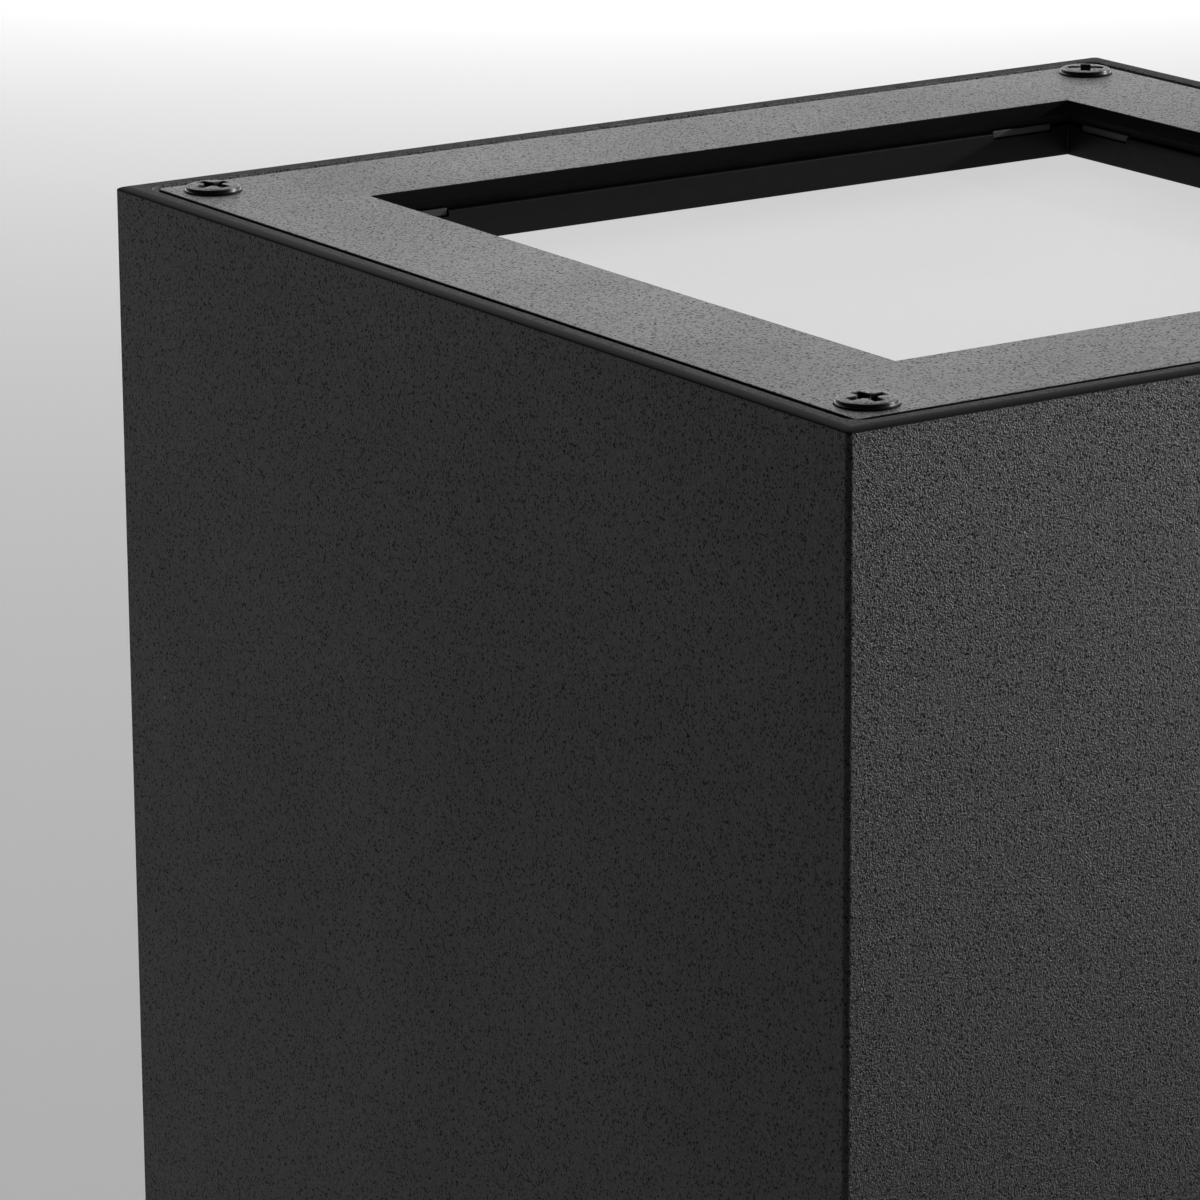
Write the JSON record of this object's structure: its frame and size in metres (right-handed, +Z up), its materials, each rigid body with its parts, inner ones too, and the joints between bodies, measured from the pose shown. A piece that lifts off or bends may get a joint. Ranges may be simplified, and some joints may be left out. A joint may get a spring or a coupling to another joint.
{
  "type": "outdoor wall lantern",
  "caption": "Square box wall lantern that lights up and down, with flush screwed cover frames around sunken opal panes and a wall base behind.",
  "frame": {"origin": "centre of the wall bracket's back face, on the wall", "axes": "+Y points into the wall, +Z points up, the lantern stands out from the wall along -Y"},
  "size_m": [0.12, 0.145, 0.2012],
  "materials": {
    "powder_coat": "fine-textured matt anthracite powder coat",
    "black_steel": "blackened steel screw, satin",
    "zinc_steel": "zinc-plated steel",
    "aluminium": "bare sheet aluminium",
    "black_rubber": "soft black rubber",
    "black_plastic": "moulded black plastic",
    "opal": "satin opal diffuser",
    "white_plastic": "moulded white plastic",
    "grey_plastic": "moulded light grey plastic",
    "orange_plastic": "moulded orange plastic",
    "circuit_board": "white lacquered circuit board",
    "wire_brown": "brown wire insulation",
    "wire_blue": "blue wire insulation",
    "wire_green": "green and yellow wire insulation",
    "wire_red": "red and black twin lead insulation"
  },
  "bodies": {
    "lantern": {"body_tube": "powder_coat", "upper_end_frame": "powder_coat", "lower_end_frame": "powder_coat", "upper_cover_frame": "powder_coat", "lower_cover_frame": "powder_coat", "wall_base": "powder_coat", "upper_cover_gasket": "black_rubber", "upper_diffuser_seal": "black_rubber", "upper_recess_frame": "black_plastic", "upper_diffuser": "opal", "upper_reflector": "white_plastic", "upper_led_board": "circuit_board", "upper_cover_screw_front_left": "black_steel", "upper_cover_screw_front_right": "black_steel", "upper_cover_screw_rear_left": "black_steel", "upper_cover_screw_rear_right": "black_steel", "upper_board_screw_left": "zinc_steel", "base_screw_upper_left": "zinc_steel", "base_bush_upper_left": "zinc_steel", "upper_board_screw_right": "zinc_steel", "base_screw_upper_right": "zinc_steel", "base_bush_upper_right": "zinc_steel", "upper_board_lead": "wire_red", "lower_cover_gasket": "black_rubber", "lower_diffuser_seal": "black_rubber", "lower_recess_frame": "black_plastic", "lower_diffuser": "opal", "lower_reflector": "white_plastic", "lower_led_board": "circuit_board", "lower_cover_screw_front_left": "black_steel", "lower_cover_screw_front_right": "black_steel", "lower_cover_screw_rear_left": "black_steel", "lower_cover_screw_rear_right": "black_steel", "lower_board_screw_left": "zinc_steel", "base_screw_lower_left": "zinc_steel", "base_bush_lower_left": "zinc_steel", "lower_board_screw_right": "zinc_steel", "base_screw_lower_right": "zinc_steel", "base_bush_lower_right": "zinc_steel", "lower_board_lead": "wire_red", "chassis": "aluminium", "led_driver": "white_plastic", "driver_strap": "zinc_steel", "wall_bracket": "zinc_steel", "earth_tag": "zinc_steel", "earth_screw": "zinc_steel", "locking_screw_left": "black_steel", "locking_screw_right": "black_steel", "wall_gasket": "black_rubber", "cable_membrane": "black_rubber", "lead_grommet": "black_rubber", "terminal_housing": "grey_plastic", "live_lead": "wire_brown", "neutral_lead": "wire_blue", "earth_lead": "wire_green"},
    "lever_live": {"terminal_lever_live": "orange_plastic"},
    "lever_neutral": {"terminal_lever_neutral": "orange_plastic"},
    "lever_earth": {"terminal_lever_earth": "orange_plastic"}
  },
  "joints": [
    {"name": "lever_live_hinge", "type": "hinge", "parent": "lantern", "child": "lever_live", "pos_m": [-0.0062, -0.01455, 0.013], "axis": [1, 0, 0], "range_deg": [0, 90]},
    {"name": "lever_neutral_hinge", "type": "hinge", "parent": "lantern", "child": "lever_neutral", "pos_m": [0, -0.01455, 0.013], "axis": [1, 0, 0], "range_deg": [0, 90]},
    {"name": "lever_earth_hinge", "type": "hinge", "parent": "lantern", "child": "lever_earth", "pos_m": [0.0062, -0.01455, 0.013], "axis": [1, 0, 0], "range_deg": [0, 90]}
  ]
}
